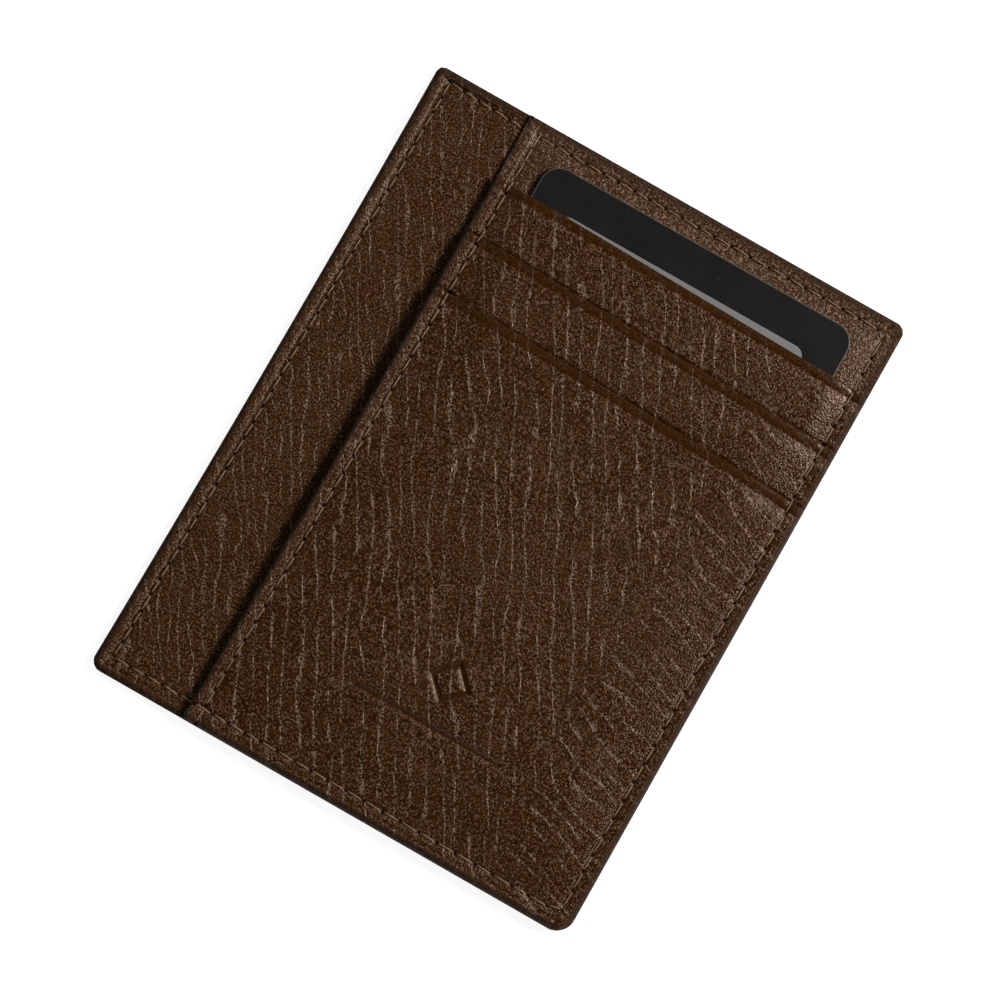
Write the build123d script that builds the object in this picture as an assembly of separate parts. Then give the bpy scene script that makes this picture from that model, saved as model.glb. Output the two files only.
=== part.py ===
from build123d import *
import os

# A slim card wallet that lies on its back. The front faces +Z, the top edge is at +Y, and the origin is
# at the bottom centre of the whole wallet. Every length is in millimetres.

# Outline
width = 82.8
height = 107.0
corner_radii = [1.8, 3.0, 1.5, 1.0]  # bottom left, bottom right, top right, top left

# Thicknesses of the leathers, the lining cloth and the board
back_leather = 0.8
turned_hem = 0.4
inner_leather = 0.5
base_leather = 0.5
pocket_leather = 0.5
front_leather = 0.7
mouth_hem = 0.3
lining_cloth = 0.15

# Heights of the pocket spaces
slip_space = 0.4
card_space = 0.85
empty_space = 0.2

# Layout, with each y measured up from the bottom edge
stack_left = -25.2
edge_hem_width = 8.0
back_hem_width = 7.0
tuck = 8.0
mouth_1 = {"left": 95.7, "right": 94.2}
mouth_2 = {"left": 86.2, "right": 84.3}
mouth_3 = {"left": 76.3, "right": 74.2}
side_seam_width = 2.8
bottom_seam_width = 3.0
slip_seam_width = 4.0
pocket_1_bottom = 15.7
pocket_2_bottom = 9.3
pocket_foot = 3.0

# Stitching
stitch_length = 2.6
stitch_pitch = 3.0
thread_width = 0.45
thread_height = 0.3
hidden_thread_height = 0.15
channel_width = 0.7
edge_seam_x = -22.5
seam_left = -38.75
seam_right = 38.85
seam_bottom = 2.9
seam_top = 104.6
seam_cut_corner = 3.0

# The bank-size card and its printed panel
card_width = 53.98
card_length = 85.6
card_thickness = 0.76
card_radius = 3.18
card_centre_x = 8.1
card_top = 102.05
card_clearance = 0.05
print_width = 42.9
print_length = 73.0
print_radius = 1.8
print_thickness = 0.05

# The blind-pressed ornament on the front: a lozenge frame over a plain rule
ornament_x = 7.3
lozenge_y = 24.9
lozenge_size = 6.2
lozenge_line = 0.8
rule_y = 17.6
rule_length = 26.0
rule_width = 0.7
press_depth = 0.2

half_width = width / 2
bottom_edge = -height / 2

# Levels of the flat layers, from the back upwards
inner_bottom = back_leather + turned_hem
inner_top = inner_bottom + inner_leather
lining_bottom = inner_top + slip_space
base_bottom = lining_bottom + lining_cloth
base_top = base_bottom + base_leather
lining_1_bottom = base_top + card_space
lining_1_top = lining_1_bottom + lining_cloth
lining_2_bottom = lining_1_top + empty_space
lining_2_top = lining_2_bottom + lining_cloth
edge_hem_bottom = base_bottom - mouth_hem

# Heights up the wallet where a pocket panel ends, tucked under the next one
panel_1_end = mouth_2["left"] - tuck
panel_2_end = mouth_3["left"] - tuck


def line(y, low, high):
    """Height at y of the straight line through the two (y, z) points."""
    return low[1] + (y - low[0]) * (high[1] - low[1]) / (high[0] - low[0])


def panel_1_under(y):
    return line(y, (panel_1_end, lining_1_bottom), (mouth_1["left"], lining_1_bottom + mouth_hem))


def panel_1_top(y):
    return panel_1_under(y) + pocket_leather


def panel_2_under(y):
    at_mouth = panel_1_top(mouth_2["left"]) + empty_space + mouth_hem
    return line(y, (panel_2_end, lining_2_bottom), (mouth_2["left"], at_mouth))


def panel_2_top(y):
    return panel_2_under(y) + pocket_leather


def panel_3_under(y):
    at_foot = lining_2_top + empty_space + lining_cloth
    at_mouth = panel_2_top(mouth_3["left"]) + empty_space + mouth_hem
    return line(y, (0, at_foot), (mouth_3["left"], at_mouth))


def panel_3_top(y):
    return panel_3_under(y) + front_leather


def mouth_height(mouth, x):
    """Height up the wallet of a slanting pocket mouth at x."""
    return line(x, (stack_left, mouth["left"]), (half_width, mouth["right"]))


def exposed_top(x, y):
    """Level of the leather that shows at x, at the height y up the wallet."""
    if x < stack_left:
        return inner_top
    if y > mouth_height(mouth_1, x):
        return base_top
    if y > mouth_height(mouth_2, x):
        return panel_1_top(y)
    if y > mouth_height(mouth_3, x):
        return panel_2_top(y)
    return panel_3_top(y)


def block(x_low, x_high, y_low, y_high, z_low, z_high):
    """Square block, with y measured up from the bottom edge."""
    size = (x_high - x_low, y_high - y_low, z_high - z_low)
    return Pos(x_low, y_low + bottom_edge, z_low) * Box(*size, align=Align.MIN)


def profile(points, x_low, x_high):
    """Solid whose side view is the list of (height up the wallet, z) points."""
    shape = Polygon(*[(y + bottom_edge, z) for y, z in points], align=None)
    return extrude(Plane.YZ.offset(x_low) * shape, x_high - x_low)


def prism(points, z_low, z_high):
    """Solid whose plan is the list of (x, height up the wallet) points."""
    shape = Polygon(*[(x, y + bottom_edge) for x, y in points], align=None)
    return extrude(Pos(0, 0, z_low) * shape, z_high - z_low)


def outline_prism(z_low, z_high):
    """The whole outline of the wallet with its four corner radii."""
    corners = [(-half_width, bottom_edge), (half_width, bottom_edge)]
    corners += [(half_width, -bottom_edge), (-half_width, -bottom_edge)]
    sides = FilletPolyline(*corners, radius=corner_radii, close=True)
    return extrude(Pos(0, 0, z_low) * make_face(sides), z_high - z_low)


def under_mouth(mouth):
    """The space below a slanting mouth line, to trim a pocket layer with."""
    points = [(stack_left, 0), (half_width, 0), (half_width, mouth["right"]), (stack_left, mouth["left"])]
    return prism(points, 0, 10)


def stitches(points, level, thick=thread_height):
    """Row of stitches along a path of (x, height up the wallet) points; level(x, y) is what they lie on."""
    row = []
    for start, end in zip(points, points[1:]):
        run = Vector(end[0] - start[0], end[1] - start[1])
        count = max(1, round(run.length / stitch_pitch))
        angle = run.get_signed_angle(Vector(1, 0, 0), Vector(0, 0, -1))
        reach = run.normalized() * (stitch_length / 2)
        for number in range(count):
            middle = Vector(*start) + run * ((number + 0.5) / count)
            along = [middle + reach * share for share in (-1, -0.5, 0, 0.5, 1)]
            z = max(level(point.X, point.Y) for point in along)
            bar = Box(stitch_length, thread_width, thick, align=(Align.CENTER, Align.CENTER, Align.MIN))
            row.append(Pos(middle.X, middle.Y + bottom_edge, z) * Rot(0, 0, angle) * bar)
    return Compound(children=row)


def front_level(x, y):
    """What the front stitches lie on: the top row sinks into its channel in the stack base."""
    channel = abs(y - seam_top) < channel_width and x > stack_left
    return base_top - thread_height if channel else exposed_top(x, y)


# The seam round the edge, closed, with its bottom right corner cut across
seam_path = [
    (seam_left, seam_bottom),
    (seam_right - seam_cut_corner, seam_bottom),
    (seam_right, seam_bottom + seam_cut_corner),
    (seam_right, seam_top),
    (seam_left, seam_top),
    (seam_left, seam_bottom),
]
left_slot_side = stack_left + side_seam_width
right_slot_side = half_width - side_seam_width
parts = {}

# Back panel: one leather with its edges turned in over the stiffener, and a channel for the back stitches
board_x = half_width - back_hem_width
board = block(-board_x, board_x, back_hem_width, height - back_hem_width, back_leather, inner_bottom)
back_channel = Part()
for start, end in zip(seam_path, seam_path[1:]):
    run = Vector(end[0] - start[0], end[1] - start[1])
    middle = (Vector(*start) + Vector(*end)) * 0.5
    angle = run.get_signed_angle(Vector(1, 0, 0), Vector(0, 0, -1))
    groove = Box(run.length + channel_width, channel_width, 2 * thread_height)
    back_channel += Pos(middle.X, middle.Y + bottom_edge, 0) * Rot(0, 0, angle) * groove
parts["back_panel"] = outline_prism(0, inner_bottom) - board - back_channel
parts["back_stiffener"] = board

# Inner panel: the back wall of the slip pocket, which shows as the strip on the left
parts["inner_panel"] = outline_prism(inner_bottom, inner_top)

# Slip pocket lining: the cloth under the card stack, folded down to the inner panel along three sides
hem_right = stack_left + edge_hem_width
slip_lining = block(hem_right, half_width, 0, height, lining_bottom, base_bottom)
slip_lining += block(half_width - slip_seam_width, half_width, 0, height, inner_top, lining_bottom)
for y_low in (0, height - slip_seam_width):
    y_high = y_low + slip_seam_width
    slip_lining += block(hem_right, half_width, y_low, y_high, inner_top, lining_bottom)
    slip_lining += block(stack_left, hem_right, y_low, y_high, inner_top, edge_hem_bottom)
parts["slip_pocket_lining"] = slip_lining & outline_prism(0, 10)

# Stack base, with a channel for the top stitches, and the hem turned under along its left edge
top_channel = block(stack_left, half_width, seam_top - channel_width / 2, seam_top + channel_width / 2,
                    base_top - thread_height, base_top)
base = block(stack_left, half_width, 0, height, base_bottom, base_top) - top_channel
parts["stack_base"] = base & outline_prism(0, 10)
edge_hem = block(stack_left, hem_right, 0, height, edge_hem_bottom, base_bottom)
parts["stack_edge_hem"] = edge_hem & outline_prism(0, 10)

# Side views of the three pocket panels, each a straight sheet that rises towards its mouth
mouths = {1: mouth_1, 2: mouth_2, 3: mouth_3}
y_1 = mouth_1["left"]
y_2 = mouth_2["left"]
y_3 = mouth_3["left"]
panel_sides = {
    1: [(panel_1_end, panel_1_under(panel_1_end)), (y_1, panel_1_under(y_1)),
        (y_1, panel_1_top(y_1)), (panel_1_end, panel_1_top(panel_1_end))],
    2: [(panel_2_end, panel_2_under(panel_2_end)), (y_2, panel_2_under(y_2)),
        (y_2, panel_2_top(y_2)), (panel_2_end, panel_2_top(panel_2_end))],
    3: [(0, panel_3_under(0)), (y_3, panel_3_under(y_3)), (y_3, panel_3_top(y_3)), (0, panel_3_top(0))],
}

# Side views of the hems, turned under along each mouth and shaved thinner away from it
hem_2_end = (panel_1_end, panel_1_top(panel_1_end) + empty_space)
hem_3_end = (panel_2_end, panel_3_under(panel_2_end) - mouth_hem)
hem_sides = {
    1: [(panel_1_end, lining_1_bottom), (y_1, lining_1_bottom), (y_1, panel_1_under(y_1))],
    2: [hem_2_end, (y_2, panel_2_under(y_2) - mouth_hem), (y_2, panel_2_under(y_2)),
        (panel_1_end, panel_2_under(panel_1_end))],
    3: [hem_3_end, (y_3, panel_3_under(y_3) - mouth_hem), (y_3, panel_3_under(y_3)),
        (panel_2_end, panel_3_under(panel_2_end))],
}

# Side views of the cloth linings, and of the folds at their sides that the leathers are sewn down on
lining_3_foot = panel_3_under(0) - lining_cloth
lining_3_head = panel_3_under(panel_2_end) - lining_cloth
lining_sides = {
    1: [(0, lining_1_bottom), (panel_1_end, lining_1_bottom), (panel_1_end, lining_1_top), (0, lining_1_top)],
    2: [(0, lining_2_bottom), (panel_2_end, lining_2_bottom), (panel_2_end, lining_2_top), (0, lining_2_top)],
    3: [(0, lining_3_foot), (panel_2_end, lining_3_head), (panel_2_end, panel_3_under(panel_2_end)),
        (0, panel_3_under(0))],
}
fold_sides = {
    1: [(0, base_top), (y_1, base_top), (y_1, lining_1_bottom), (0, lining_1_bottom)],
    2: [(0, lining_1_top), (panel_1_end, lining_1_top), (panel_1_end, panel_1_top(panel_1_end)),
        (y_2, panel_1_top(y_2)), (y_2, panel_2_under(y_2) - mouth_hem), hem_2_end,
        (panel_1_end, panel_2_under(panel_1_end)), (panel_2_end, lining_2_bottom), (0, lining_2_bottom)],
    3: [(0, lining_2_top), (panel_2_end, lining_2_top), (panel_2_end, panel_2_top(panel_2_end)),
        (y_3, panel_2_top(y_3)), (y_3, panel_3_under(y_3) - mouth_hem), hem_3_end,
        (panel_2_end, lining_3_head), (0, lining_3_foot)],
}

# Where each pocket is closed below: the foot of its space, and the levels that the cloth is folded between
pocket_feet = {1: pocket_1_bottom, 2: pocket_2_bottom, 3: bottom_seam_width}
pocket_levels = {
    1: (base_top, lining_1_bottom),
    2: (lining_1_top, lining_2_bottom),
    3: (lining_2_top, lining_3_foot + lining_cloth / 2),
}

for number, mouth in mouths.items():
    trim = under_mouth(mouth) & outline_prism(0, 10)
    parts[f"pocket_{number}_panel"] = profile(panel_sides[number], stack_left, half_width) & trim
    parts[f"pocket_{number}_hem"] = profile(hem_sides[number], stack_left, half_width) & trim
    lining = profile(lining_sides[number], stack_left, half_width)
    lining += profile(fold_sides[number], stack_left, left_slot_side)
    lining += profile(fold_sides[number], right_slot_side, half_width)
    for foot_top in {bottom_seam_width, pocket_feet[number]}:
        foot_low = max(0, foot_top - pocket_foot)
        lining += block(stack_left, half_width, foot_low, foot_top, *pocket_levels[number])
    parts[f"pocket_{number}_lining"] = lining & trim

# The ornament pressed into the front panel
half_lozenge = lozenge_size / 2
inner_lozenge = half_lozenge - lozenge_line
ornament = Rot(0, 0, 45) * Rectangle(half_lozenge * 2**0.5, half_lozenge * 2**0.5)
ornament -= Rot(0, 0, 45) * Rectangle(inner_lozenge * 2**0.5, inner_lozenge * 2**0.5)
press_level = panel_3_top(lozenge_y) - press_depth
lozenge = extrude(Pos(ornament_x, lozenge_y + bottom_edge, press_level) * ornament, 1)
rule_level = panel_3_top(rule_y) - press_depth
rule = block(ornament_x - rule_length / 2, ornament_x + rule_length / 2,
             rule_y - rule_width / 2, rule_y + rule_width / 2, rule_level, rule_level + 1)
parts["pocket_3_panel"] = parts["pocket_3_panel"] - lozenge - rule

# Threads: each seam has a needle thread on its front and a bobbin thread behind
edge_path = [(edge_seam_x, slip_seam_width), (edge_seam_x, height - slip_seam_width)]
parts["perimeter_needle_thread"] = stitches(seam_path, front_level)
parts["perimeter_bobbin_thread"] = stitches(seam_path, lambda x, y: 0)
parts["edge_needle_thread"] = stitches(edge_path, front_level)
edge_bobbin_level = edge_hem_bottom - hidden_thread_height
parts["edge_bobbin_thread"] = stitches(edge_path, lambda x, y: edge_bobbin_level, hidden_thread_height)
for number, level in ((1, lining_1_top), (2, lining_2_top)):
    seam_y = pocket_feet[number] - pocket_foot / 2
    path = [(left_slot_side, seam_y), (right_slot_side, seam_y)]
    parts[f"pocket_{number}_seam_thread"] = stitches(path, lambda x, y: level, hidden_thread_height)

# Card, with its printed panel let in flush
card_centre_y = card_top - card_length / 2 + bottom_edge
card_bottom = base_top + card_clearance
card_place = Pos(card_centre_x, card_centre_y, card_bottom)
card = extrude(card_place * RectangleRounded(card_width, card_length, card_radius), card_thickness)
print_place = Pos(card_centre_x, card_centre_y, card_bottom + card_thickness - print_thickness)
card_print = extrude(print_place * RectangleRounded(print_width, print_length, print_radius), print_thickness)
parts["card_body"] = card - card_print
parts["card_print"] = card_print

os.makedirs("parts", exist_ok=True)
for name, part in parts.items():
    part.label = name
    export_step(part, f"parts/{name}.step")
    print(name, len(part.solids()), round(part.volume, 2))
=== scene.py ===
import math
import random
import bmesh
import bpy
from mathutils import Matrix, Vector, noise
from mathutils.bvhtree import BVHTree
from mathutils.kdtree import KDTree


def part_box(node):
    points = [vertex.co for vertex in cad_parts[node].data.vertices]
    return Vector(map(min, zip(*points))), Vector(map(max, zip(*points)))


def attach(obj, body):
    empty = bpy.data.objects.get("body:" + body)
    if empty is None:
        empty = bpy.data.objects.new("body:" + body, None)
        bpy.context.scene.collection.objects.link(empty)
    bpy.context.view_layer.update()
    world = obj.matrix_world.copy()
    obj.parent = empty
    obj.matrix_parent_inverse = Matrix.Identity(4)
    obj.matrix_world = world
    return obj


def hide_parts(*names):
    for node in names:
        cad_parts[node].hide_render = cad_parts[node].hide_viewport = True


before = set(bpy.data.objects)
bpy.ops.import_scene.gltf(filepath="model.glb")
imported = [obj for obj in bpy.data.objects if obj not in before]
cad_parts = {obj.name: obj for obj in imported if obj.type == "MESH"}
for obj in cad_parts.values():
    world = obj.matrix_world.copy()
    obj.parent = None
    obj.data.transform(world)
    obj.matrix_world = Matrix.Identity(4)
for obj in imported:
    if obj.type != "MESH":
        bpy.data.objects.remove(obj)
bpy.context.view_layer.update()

# The studio: a camera almost straight above the wallet, turned so that it lies on a slant, over a
# plain white table. A broad lamp stands low on the right, with weaker ones round about.
mm = 0.001
camera_data = bpy.data.cameras.new("camera")
camera_data.lens = 107.97
camera_data.sensor_width = 36
camera = bpy.data.objects.new("camera", camera_data)
camera.location = (8.77 * mm, -44.02 * mm, 457.19 * mm)
camera.rotation_euler = [math.radians(angle) for angle in (5.248, -1.753, 29.685)]
bpy.context.collection.objects.link(camera)
bpy.context.scene.camera = camera
bpy.context.scene.view_settings.view_transform = "Standard"


def soft_lamp(name, place, size, power, tint=(1, 1, 1)):
    data = bpy.data.lights.new(name, "AREA")
    data.shape = "DISK"
    data.size = size
    data.energy = power
    data.color = tint
    lamp = bpy.data.objects.new(name, data)
    lamp.location = place
    lamp.rotation_euler = (-Vector(place)).to_track_quat("-Z", "Y").to_euler()
    bpy.context.collection.objects.link(lamp)


soft_lamp("key_lamp", (0.60, 0.45, 0.60), 0.30, 13.5, (1.0, 0.97, 0.94))
soft_lamp("side_lamp", (-0.75, 0.25, 0.35), 0.4, 1.2)
soft_lamp("low_lamp", (0.2, -0.85, 0.35), 0.4, 1.2)

world = bpy.data.worlds.new("studio")
world.use_nodes = True
world.node_tree.nodes["Background"].inputs["Color"].default_value = (1, 1, 1, 1)
world.node_tree.nodes["Background"].inputs["Strength"].default_value = 0.05
bpy.context.scene.world = world


class Recipe:
    """A short way to write a material or a node group: every call adds one node and returns its output."""

    def __init__(self, tree):
        self.tree = tree

    def node(self, kind, settings=None, **inputs):
        made = self.tree.nodes.new(kind)
        for key, value in (settings or {}).items():
            setattr(made, key, value)
        for key, value in inputs.items():
            self.feed(made.inputs[key.replace("_", " ")], value)
        return made

    def feed(self, socket, value):
        if isinstance(value, bpy.types.NodeSocket):
            self.tree.links.new(value, socket)
        else:
            socket.default_value = value

    def sum(self, operation, *values):
        made = self.tree.nodes.new("ShaderNodeMath")
        made.operation = operation
        for number, value in enumerate(values):
            self.feed(made.inputs[number], value)
        return made.outputs[0]

    def ramp(self, value, low, high, to_low=0.0, to_high=1.0):
        made = self.node("ShaderNodeMapRange", {"interpolation_type": "SMOOTHSTEP"}, Value=value)
        for key, number in (("From Min", low), ("From Max", high), ("To Min", to_low), ("To Max", to_high)):
            self.feed(made.inputs[key], number)
        return made.outputs[0]

    def blend(self, share, first, second):
        made = self.node("ShaderNodeMix", {"data_type": "RGBA"})
        for place, value in ((0, share), (6, first), (7, second)):
            self.feed(made.inputs[place], value)
        return made.outputs[2]

    def noise(self, place, size, detail=2.0, output="Fac"):
        made = self.node("ShaderNodeTexNoise", Vector=place, Scale=1 / size, Detail=detail)
        return made.outputs[output]

    def cells(self, place, size):
        return self.node("ShaderNodeTexVoronoi", Vector=place, Scale=1 / size).outputs["Distance"]

    def apart(self, first, second):
        return self.sum("ABSOLUTE", self.sum("SUBTRACT", first, second))

    def millimetres(self, turn=0.0, stretch=(1, 1, 1)):
        """Object coordinates in mm, turned by some degrees about Z and stretched."""
        place = self.node("ShaderNodeTexCoord").outputs["Object"]
        turned = self.node("ShaderNodeMapping", {"vector_type": "TEXTURE"}, Vector=place)
        turned.inputs["Rotation"].default_value[2] = math.radians(turn)
        turned.inputs["Scale"].default_value = [side * mm for side in stretch]
        return turned.outputs["Vector"]

    def spot(self):
        """Object coordinates in mm, as separate outputs X, Y and Z."""
        return self.node("ShaderNodeSeparateXYZ", Vector=self.millimetres()).outputs


def new_finish(name, base, roughness, **sockets):
    """New material with one Principled shader; the recipe that comes back holds both."""
    material = bpy.data.materials.new(name)
    material.use_nodes = True
    recipe = Recipe(material.node_tree)
    recipe.material = material
    recipe.shader = material.node_tree.nodes["Principled BSDF"]
    recipe.feed(recipe.shader.inputs["Base Color"], base)
    recipe.feed(recipe.shader.inputs["Roughness"], roughness)
    for socket, value in sockets.items():
        recipe.feed(recipe.shader.inputs[socket.replace("_", " ")], value)
    return recipe


def add_bump(recipe, height, depth):
    """Gives the surface a relief: a height from 0 to 1, depth mm deep."""
    bump = recipe.node("ShaderNodeBump", Height=height, Distance=depth * mm)
    recipe.feed(recipe.shader.inputs["Normal"], bump.outputs["Normal"])


def add_piece(name, mesh, material, body="wallet", smooth=True):
    """Makes a finished mesh, in mm, a piece of the wallet that rides on a body."""
    bmesh.ops.scale(mesh, vec=(mm, mm, mm), verts=mesh.verts)
    data = bpy.data.meshes.new(name)
    mesh.to_mesh(data)
    mesh.free()
    data.polygons.foreach_set("use_smooth", [smooth] * len(data.polygons))
    data.materials.append(material)
    piece = bpy.data.objects.new(name, data)
    bpy.context.collection.objects.link(piece)
    if body:
        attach(piece, body)
    return piece


table = new_finish("white_table", (0.3, 0.3, 0.3, 1), 0.9)
fibres = table.noise(table.millimetres(), 2.0, 3.0)
paper_white = table.blend(fibres, (0.29, 0.29, 0.29, 1), (0.31, 0.31, 0.31, 1))
table.feed(table.shader.inputs["Base Color"], paper_white)
table.shader.inputs["Emission Color"].default_value = (1, 1, 1, 1)
table.shader.inputs["Emission Strength"].default_value = 0.9
table_mesh = bmesh.new()
bmesh.ops.create_grid(table_mesh, x_segments=8, y_segments=8, size=3000)
add_piece("table", table_mesh, table.material, body=None)

# The outer leather at the back: one hide, pebbled and waxed, with its edges turned up and in over
# the board. All the leathers here are laid the same way: flat, turned at the sides, mitred at corners.
low_corner, high_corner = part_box("back_panel")
right = high_corner[0] / mm
left = -right
foot = low_corner[1] / mm
head = -foot
corner_radius = {(-1, -1): 1.8, (1, -1): 3.0, (1, 1): 1.6, (-1, 1): 1.1}  # by side and end


def ease(share):
    share = min(1.0, max(0.0, share))
    return share * share * (3 - 2 * share)


def mix(first, second, share):
    return first + (second - first) * share


def dip(distance, width):
    return math.exp(-((distance / width) ** 2))


def through(points, value):
    """Smooth way through (position, level) points."""
    for (start, low), (end, high) in zip(points, points[1:]):
        if value <= end:
            return mix(low, high, ease((value - start) / (end - start)))
    return points[-1][1]


def unevenness(x, y, size, layer=0.0):
    """Slow rise and fall of hand-laid leather, from about -0.5 to 0.5."""
    return noise.noise(Vector((x / size, y / size, layer)))


def hollow(x, y):
    """The wallet's left side is cut a little hollow."""
    return 0.35 * (1 - (y / head) ** 2) * ease((right - x) / (right - left) * 1.4 - 0.4)


def lanes(start, end, widest, lines=(), finest=0.17, reach=1.3):
    """Positions from start to end, close together near the given lines and widest apart elsewhere."""
    places = [start]
    while places[-1] < end:
        near = min((abs(places[-1] - line) for line in lines), default=reach)
        places.append(places[-1] + mix(finest, widest, min(1.0, near / reach)))
    stretch = (end - start) / (places[-1] - start)
    return [start + (place - start) * stretch for place in places]


def round_turn(bulge, under, ways=8):
    """Steps of an edge turned right over: (outwards, share of the way down, lean), then the hem."""
    steps = []
    for number in range(1, ways + 1):
        lean = math.pi * number / ways
        steps.append((bulge * math.sin(lean), (1 - math.cos(lean)) / 2, lean))
    return steps + [(-under * share, 1.0, math.pi) for share in (0.5, 1.0)]


def quarter_turn(bulge, under, ways=7):
    """Steps of an edge rounded down to what it lies on, then its short hem underneath."""
    steps = []
    for number in range(1, ways + 1):
        lean = math.pi / 2 * number / ways
        steps.append((bulge * math.sin(lean), 1 - math.cos(lean), lean))
    return steps + [(mix(bulge, -under, share), 1.0, math.pi) for share in (0.3, 1.0)]


def four_sides(bulge, steps, lowest):
    """Where a leather turns over on all four sides: each side's line, steps and lowest level."""
    return {
        "left": (left + bulge, steps, lowest),
        "right": (right - bulge, steps, lowest),
        "foot": (foot + bulge, steps, lowest),
        "top": (head - bulge, steps, lowest),
    }


def lay_leather(columns, rows, top, sides, slant=None, covered=None):
    """Lays one leather in place as a bmesh in mm, outer face only.

    columns are (x, ring) and rows (y, ring, fold depth). Ring 0 is flat, and the rest count outwards
    along the steps of that side. slant shifts it up the wallet, and covered draws its hidden part in.
    """
    mesh = bmesh.new()
    wide, high = len(columns) - 1, len(rows) - 1
    bmesh.ops.create_grid(mesh, x_segments=wide, y_segments=high, size=1)
    for vertex in mesh.verts:
        x, ring_x = columns[round((vertex.co.x + 1) / 2 * wide)]
        y, ring_y, fold = rows[round((vertex.co.y + 1) / 2 * high)]
        across = sides["right" if ring_x > 0 else "left"] if ring_x else None
        along = sides["top" if ring_y > 0 else "foot"] if ring_y else None
        level = top(x, y)
        lean = 0.0
        if ring_x or ring_y:
            line, steps, floor = across if abs(ring_x) >= abs(ring_y) else along
            out, share, lean = steps[max(abs(ring_x), abs(ring_y)) - 1]
            if across:
                x += out if ring_x > 0 else -out
            if along:
                y += out if ring_y > 0 else -out
            if out < 0 and across and "foot" in sides:
                y = max(y, sides["foot"][0] - out)
            if out < 0 and across and "top" in sides:
                y = min(y, sides["top"][0] + out)
            if out < 0 and along:
                x = min(max(x, sides["left"][0] - out), sides["right"][0] + out)
            level = mix(level, floor, share)
        for (side, end), radius in corner_radius.items():
            past_x = (x - side * (right - radius)) * side
            past_y = (y - end * (head - radius)) * end
            if past_x > 0 and past_y > 0:
                pull = max(past_x, past_y) / math.hypot(past_x, past_y)
                x = side * (right - radius + past_x * pull)
                y = end * (head - radius + past_y * pull)
        if fold:
            x -= math.copysign(math.sin(lean) * fold, ring_x) if ring_x else 0.0
            level -= math.cos(lean) * fold
        if covered:
            x += covered(y) * (1.0 if x < 0 else -1.0) * min(1.0, abs(x) / right)
        if slant:
            y += slant(x, y)
        vertex.co = (x + hollow(x, y), y, level)
    bmesh.ops.remove_doubles(mesh, verts=mesh.verts, dist=0.0005)
    return mesh


def thicken(piece, thickness):
    """Gives a leather or cloth its thickness, inwards from its outer face."""
    solid = piece.modifiers.new("thickness", "SOLIDIFY")
    solid.thickness = thickness * mm
    solid.offset = -1


def turned_lanes(places, side_low, side_high):
    """Columns or rows with the rings of both turned sides added."""
    low = [(places[0], -ring) for ring in range(side_low, 0, -1)]
    high = [(places[-1], ring) for ring in range(1, side_high + 1)]
    return low + [(place, 0) for place in places] + high


# Leather grain: long wavy creases side by side, over a fine crawling speckle. Height is the relief, the
# glint output marks painted highlights, glints on the waxed high spots and along the crease sides that are
# painted lighter, Grit is the speckle alone, and Tone is the slow change of colour. Cell is the creases'
# spacing, Speck the speckle's size, and Keep fades the creases out.
grain = bpy.data.node_groups.new("leather_grain", "ShaderNodeTree")
for socket in ("Place", "Flat"):
    grain.interface.new_socket(socket, in_out="INPUT", socket_type="NodeSocketVector")
for socket in ("Keep", "Cell", "Depth", "Speck"):
    grain.interface.new_socket(socket, in_out="INPUT", socket_type="NodeSocketFloat")
for socket in ("Height", "Glint", "Grit", "Tone"):
    grain.interface.new_socket(socket, in_out="OUTPUT", socket_type="NodeSocketFloat")
hide = Recipe(grain)
given = hide.node("NodeGroupInput").outputs


def wander(place, size, reach):
    """The place, pushed about by a noise of that size in mm, so that nothing runs straight."""
    push = hide.node("ShaderNodeVectorMath", {"operation": "MULTIPLY_ADD"})
    hide.feed(push.inputs[0], hide.noise(place, size, 2.0, "Color"))
    push.inputs[1].default_value = (reach, reach, 0)
    hide.feed(push.inputs[2], place)
    return push.outputs[0]


wavy = hide.node("ShaderNodeSeparateXYZ", Vector=wander(wander(given["Place"], 5.0, 5.4), 0.5, 1.0))
away = hide.sum("PINGPONG", hide.sum("DIVIDE", wavy.outputs["X"], given["Cell"]), 0.5)
broken = hide.sum("MULTIPLY", hide.ramp(hide.noise(given["Place"], 1.5, 3.0), 0.36, 0.54), given["Keep"])
crease = hide.sum("MULTIPLY", hide.ramp(away, 0.0, 0.065, 1.0, 0.0), broken)
beside = hide.sum("MULTIPLY", hide.ramp(away, 0.03, 0.12, 1.0, 0.0), broken)
specks = hide.node("ShaderNodeTexNoise", Vector=given["Flat"], Detail=2.0)
hide.feed(specks.inputs["Scale"], hide.sum("DIVIDE", 1.0, given["Speck"]))
speckle = hide.ramp(specks.outputs["Fac"], 0.34, 0.66)
winding = hide.noise(wander(given["Flat"], 0.7, 0.5), 0.6, 1.0)
crawl = hide.ramp(hide.apart(winding, 0.5), 0.0, 0.11)
patches = hide.ramp(hide.noise(given["Flat"], 2.6, 3.0), 0.34, 0.66, 0.55, 1.0)
fine = hide.sum("ADD", hide.sum("MULTIPLY", speckle, 0.65), hide.sum("MULTIPLY", crawl, 0.35))
height = hide.sum("SUBTRACT", fine, hide.sum("MULTIPLY", crease, given["Depth"]))
grit = hide.ramp(specks.outputs["Fac"], 0.54, 0.63)
# Painted highlights: glints on the grit's specks and along the crease sides, lightened into the colour later.
glint_specks = hide.sum("MULTIPLY", hide.sum("MULTIPLY", grit, patches), 0.46)
glint_lines = hide.sum("MULTIPLY", beside, hide.ramp(specks.outputs["Fac"], 0.45, 0.57, 0.03, 0.9))
result = hide.node("NodeGroupOutput")
hide.feed(result.inputs["Height"], height)
hide.feed(result.inputs["Glint"], hide.sum("MAXIMUM", glint_specks, glint_lines))
hide.feed(result.inputs["Grit"], grit)
hide.feed(result.inputs["Tone"], hide.noise(given["Flat"], 9.0, 3.0))


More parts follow.
